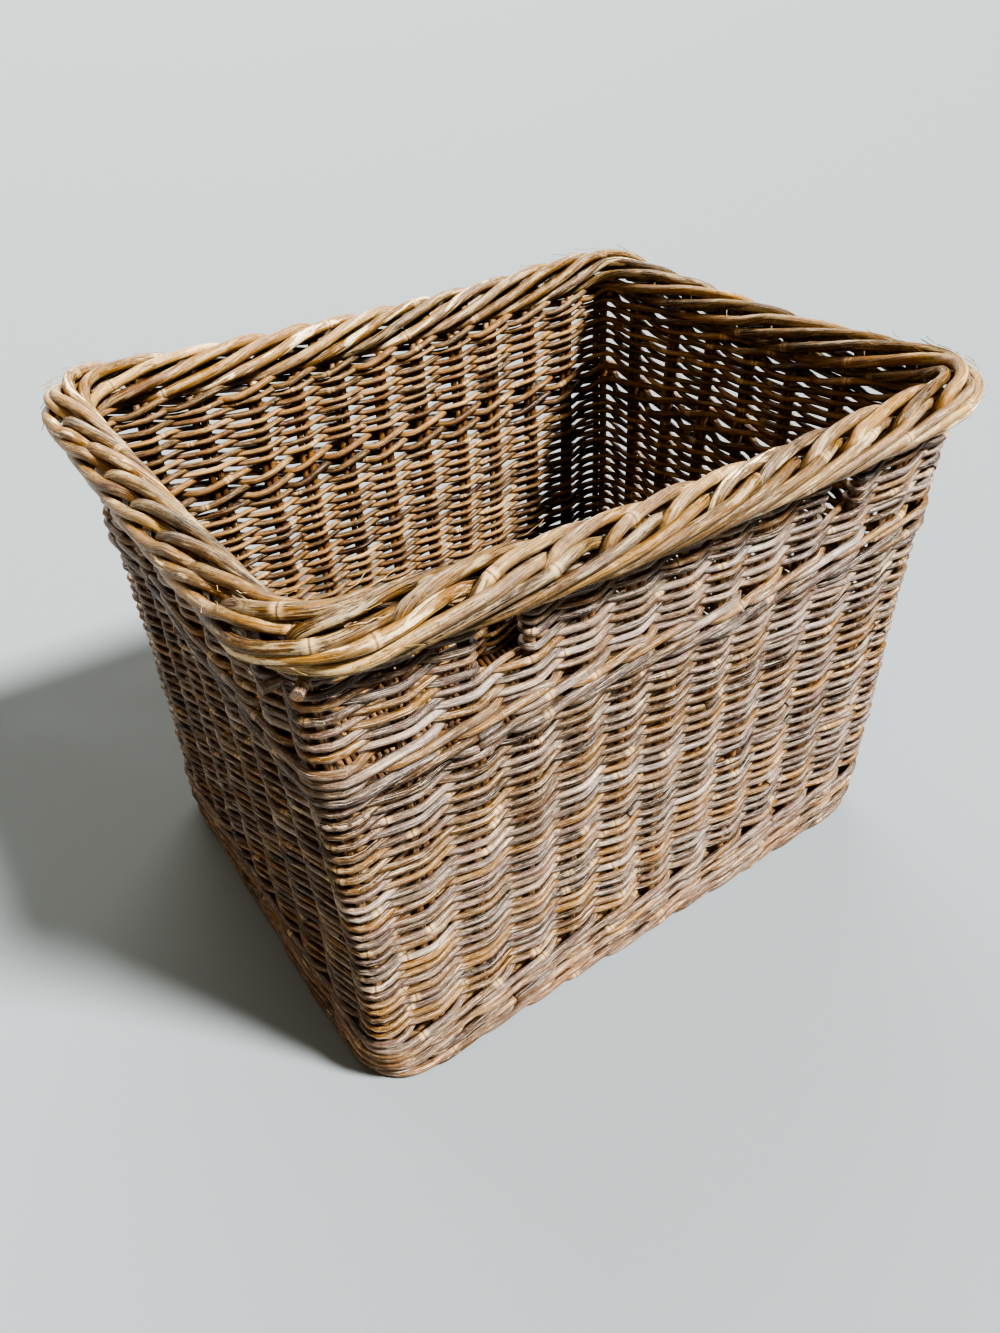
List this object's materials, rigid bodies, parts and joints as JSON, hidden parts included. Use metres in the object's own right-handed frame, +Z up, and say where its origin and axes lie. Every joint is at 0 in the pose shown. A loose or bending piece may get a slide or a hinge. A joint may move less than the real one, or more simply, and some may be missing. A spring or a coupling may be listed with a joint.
{
  "type": "log basket",
  "caption": "Rectangular open log basket woven from rattan rods on upright stakes, with a rolled rod border and two strap holes high in one long wall.",
  "frame": {"origin": "middle of the footprint, on the ground the basket stands on", "axes": "+X along the long walls, +Y from the front long wall (the one with the two strap holes) to the back long wall, +Z up"},
  "size_m": [0.698, 0.546, 0.5308],
  "materials": {
    "stakes": "weathered rattan cane, matt",
    "foot": "weathered rattan cane, matt",
    "wale": "weathered rattan cane, matt",
    "outer_weave": "weathered rattan cane, matt",
    "inner_weave": "weathered rattan cane, matt",
    "border": "weathered rattan cane, matt",
    "base": "weathered rattan cane, matt"
  },
  "bodies": {
    "root": {"front_stakes": "stakes", "front_bye_stakes": "stakes", "front_foot_rods": "foot", "front_upset_wale": "wale", "front_lower_weave_outer": "outer_weave", "front_upper_weave_outer": "outer_weave", "front_lower_weave_inner": "inner_weave", "front_upper_weave_inner": "inner_weave", "front_middle_wale": "wale", "front_top_wale": "wale", "front_border_outer": "border", "front_border_inner": "border", "right_stakes": "stakes", "right_bye_stakes": "stakes", "right_foot_rods": "foot", "right_upset_wale": "wale", "right_lower_weave_outer": "outer_weave", "right_upper_weave_outer": "outer_weave", "right_lower_weave_inner": "inner_weave", "right_upper_weave_inner": "inner_weave", "right_middle_wale": "wale", "right_top_wale": "wale", "right_border_outer": "border", "right_border_inner": "border", "back_stakes": "stakes", "back_bye_stakes": "stakes", "back_foot_rods": "foot", "back_upset_wale": "wale", "back_lower_weave_outer": "outer_weave", "back_upper_weave_outer": "outer_weave", "back_lower_weave_inner": "inner_weave", "back_upper_weave_inner": "inner_weave", "back_middle_wale": "wale", "back_top_wale": "wale", "back_border_outer": "border", "back_border_inner": "border", "left_stakes": "stakes", "left_bye_stakes": "stakes", "left_foot_rods": "foot", "left_upset_wale": "wale", "left_lower_weave_outer": "outer_weave", "left_upper_weave_outer": "outer_weave", "left_lower_weave_inner": "inner_weave", "left_upper_weave_inner": "inner_weave", "left_middle_wale": "wale", "left_top_wale": "wale", "left_border_outer": "border", "left_border_inner": "border", "corner_stakes": "stakes", "border_corners": "border", "strap_hole_wraps": "outer_weave", "base_sticks": "base", "base_weavers": "base"}
  },
  "joints": []
}
